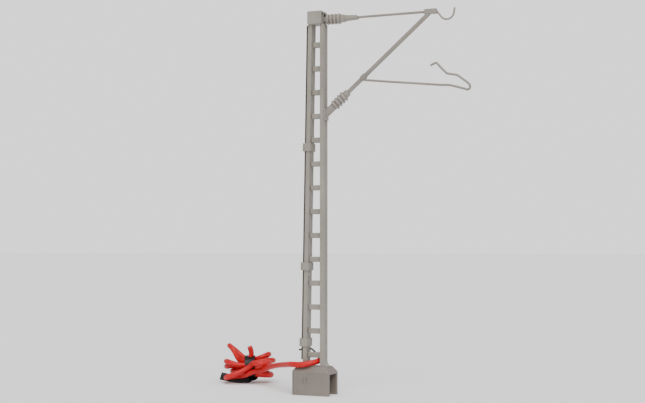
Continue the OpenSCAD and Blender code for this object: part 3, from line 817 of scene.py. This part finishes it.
def finish(name, dark, light, patch=2.5, grain=0.12, rough=(0.4, 0.55), bump=0.01, metallic=0.0,
           specular=0.5):
    """A finish with colour patches and grain of these sizes in millimetres, and a bump in millimetres."""
    material = bpy.data.materials.new(name)
    material.use_nodes = True
    nodes, links = material.node_tree.nodes, material.node_tree.links
    shader = nodes["Principled BSDF"]
    shader.inputs["Metallic"].default_value = metallic
    shader.inputs["Specular IOR Level"].default_value = specular
    place = nodes.new("ShaderNodeTexCoord")

    def noise(size, detail, roughness):
        node = nodes.new("ShaderNodeTexNoise")
        node.inputs["Scale"].default_value = 1 / size
        node.inputs["Detail"].default_value = detail
        node.inputs["Roughness"].default_value = roughness
        links.new(place.outputs["Object"], node.inputs["Vector"])
        return node.outputs["Fac"]

    patches = noise(patch, PATCH_DETAIL, PATCH_ROUGHNESS)
    specks = noise(grain, GRAIN_DETAIL, GRAIN_ROUGHNESS)
    both = nodes.new("ShaderNodeMath")
    both.operation = "MULTIPLY_ADD"
    both.inputs[1].default_value = GRAIN_IN_COLOUR
    links.new(specks, both.inputs[0])
    links.new(patches, both.inputs[2])
    colours = nodes.new("ShaderNodeValToRGB")
    for stop, at, colour in zip(colours.color_ramp.elements, (DARK_AT, LIGHT_AT), (dark, light)):
        stop.position, stop.color = at, (*colour, 1)
    links.new(both.outputs[0], colours.inputs["Fac"])
    links.new(colours.outputs["Color"], shader.inputs["Base Color"])
    gloss = nodes.new("ShaderNodeMapRange")
    gloss.inputs["From Min"].default_value, gloss.inputs["From Max"].default_value = GLOSS_FROM, GLOSS_TO
    gloss.inputs["To Min"].default_value, gloss.inputs["To Max"].default_value = rough
    links.new(patches, gloss.inputs["Value"])
    links.new(gloss.outputs["Result"], shader.inputs["Roughness"])
    relief = nodes.new("ShaderNodeBump")
    relief.inputs["Strength"].default_value = BUMP_STRENGTH
    relief.inputs["Distance"].default_value = bump * MM
    links.new(specks, relief.inputs["Height"])
    links.new(relief.outputs["Normal"], shader.inputs["Normal"])
    return material


def dress(pieces, material):
    """Gives every piece the one material."""
    for piece in pieces:
        piece.data.materials.clear()
        piece.data.materials.append(material)
    print(material.name, "on", len(pieces), "pieces")


print("finish: grain shows", GRAIN_IN_COLOUR, "times as much as patches")

# %% [markdown]
# The mast is a beige-grey moulded plastic, satin rather than matt. The arm is the same kind of plastic in a
# slightly darker, warmer shade. The foot gets a darker, warmer grey still, which is painted shade for the
# light falling off towards the bottom of the model. Colours are given as the darkest and the lightest patch.

# %% Moulded greys
mast_grey = finish("satin_mast_grey", (0.212, 0.192, 0.163), (0.28, 0.256, 0.22), rough=(0.42, 0.56))
arm_grey = finish("satin_arm_grey", (0.2, 0.178, 0.154), (0.268, 0.24, 0.209), rough=(0.38, 0.52))
# The foot's darker grey is painted shade for the light falling off towards the bottom, not the plastic's own
# colour.
foot_grey_painted_shade = finish("satin_foot_grey", (0.15, 0.126, 0.107), (0.198, 0.17, 0.146), rough=(0.45, 0.6))
dress(mast, mast_grey)
dress(foot, foot_grey_painted_shade)
dress(arm, arm_grey)

# %% [markdown]
# The lead's insulation is soft red plastic with a slight gloss and a faintly uneven skin. The tie is black
# with a dull sheen, creased by the hand that twisted it. The wires are blackened metal, and the solder is
# dull bright tin.

# %% Lead, tie and metals
lead_red = finish("soft_red_insulation", (0.42, 0.0015, 0.003), (0.54, 0.003, 0.006), patch=1.6, grain=0.2,
                  rough=(0.38, 0.5), bump=0.006, specular=0.32)
tie_black = finish("creased_black_tie", (0.003, 0.0025, 0.0025), (0.01, 0.009, 0.009), patch=0.8,
                   grain=0.25, rough=(0.32, 0.48), bump=0.03, specular=0.25)
blackened = finish("blackened_wire", (0.045, 0.038, 0.032), (0.09, 0.078, 0.068), patch=1.2, grain=0.08,
                   rough=(0.4, 0.6), bump=0.008, metallic=0.35)
tinned = finish("dull_solder", (0.5, 0.49, 0.48), (0.7, 0.69, 0.67), patch=0.2, grain=0.06,
                rough=(0.28, 0.45), bump=0.015, metallic=0.9)
coppery = finish("cut_copper", (0.72, 0.3, 0.17), (0.85, 0.42, 0.26), patch=0.1, grain=0.03,
                 rough=(0.3, 0.4), bump=0.004, metallic=1.0)
dress([lead], lead_red)
dress([tie], tie_black)
dress([feed, tail], blackened)
dress([solder_bead], tinned)
dress([copper], coppery)

# %% [markdown]
# The model stands on a pale matt floor. It is plain, so that nothing on it draws the eye from an object
# only 41 mm tall, and it reaches so far that its edge never shows.

# %% Floor
FLOOR_REACH = 3
FLOOR_COLOUR, FLOOR_ROUGHNESS, FLOOR_SPECULAR = (0.9, 0.9, 0.9, 1), 0.9, 0.1
floor_corners = [(x * FLOOR_REACH, y * FLOOR_REACH, 0) for x, y in ((-1, -1), (1, -1), (1, 1), (-1, 1))]
floor_data = bpy.data.meshes.new("pale_floor")
floor_data.from_pydata(floor_corners, [], [(0, 1, 2, 3)])
floor = bpy.data.objects.new("pale_floor", floor_data)
bpy.context.scene.collection.objects.link(floor)
pale = bpy.data.materials.new("pale_floor")
pale.use_nodes = True
pale_shader = pale.node_tree.nodes["Principled BSDF"]
pale_shader.inputs["Base Color"].default_value = FLOOR_COLOUR
pale_shader.inputs["Roughness"].default_value = FLOOR_ROUGHNESS
pale_shader.inputs["Specular IOR Level"].default_value = FLOOR_SPECULAR
floor.data.materials.append(pale)
print("floor:", 2 * FLOOR_REACH, "m square")

# %% [markdown]
# The light is that of a light tent: a bright even surround and one large soft light, high up on the
# camera's side. A sun lamp with a wide angle is as soft as a big lamp close by, and it lights the floor
# evenly right out to the horizon, so floor and surround meet without a line. The camera sees the surround
# brighter than it lights the model.

# %% Surround and soft sun
SURROUND, SURROUND_SEEN = 0.72, 1.5
SUN_STRENGTH, SUN_ANGLE = 3.35, math.radians(50)
SUN_FROM = Vector((0.35, -0.62, 0.9))

world = bpy.data.worlds.new("light_tent")
world.use_nodes = True
bpy.context.scene.world = world
tent = world.node_tree
seen = tent.nodes.new("ShaderNodeLightPath")
brightness = tent.nodes.new("ShaderNodeMapRange")
brightness.inputs["To Min"].default_value = SURROUND
brightness.inputs["To Max"].default_value = SURROUND_SEEN
tent.links.new(seen.outputs["Is Camera Ray"], brightness.inputs["Value"])
tent.links.new(brightness.outputs["Result"], tent.nodes["Background"].inputs["Strength"])
tent.nodes["Background"].inputs["Color"].default_value = (1, 1, 1, 1)

sun = bpy.data.objects.new("soft_sun", bpy.data.lights.new("soft_sun", "SUN"))
sun.data.energy = SUN_STRENGTH
sun.data.angle = SUN_ANGLE
sun.rotation_euler = (-SUN_FROM).to_track_quat("-Z", "Y").to_euler()
bpy.context.scene.collection.objects.link(sun)
print("light: surround", SURROUND, "and a sun of", SUN_STRENGTH)

# %% [markdown]
# At the end the view layer is updated, so that every object's place is current.

# %% Update the scene
bpy.context.view_layer.update()
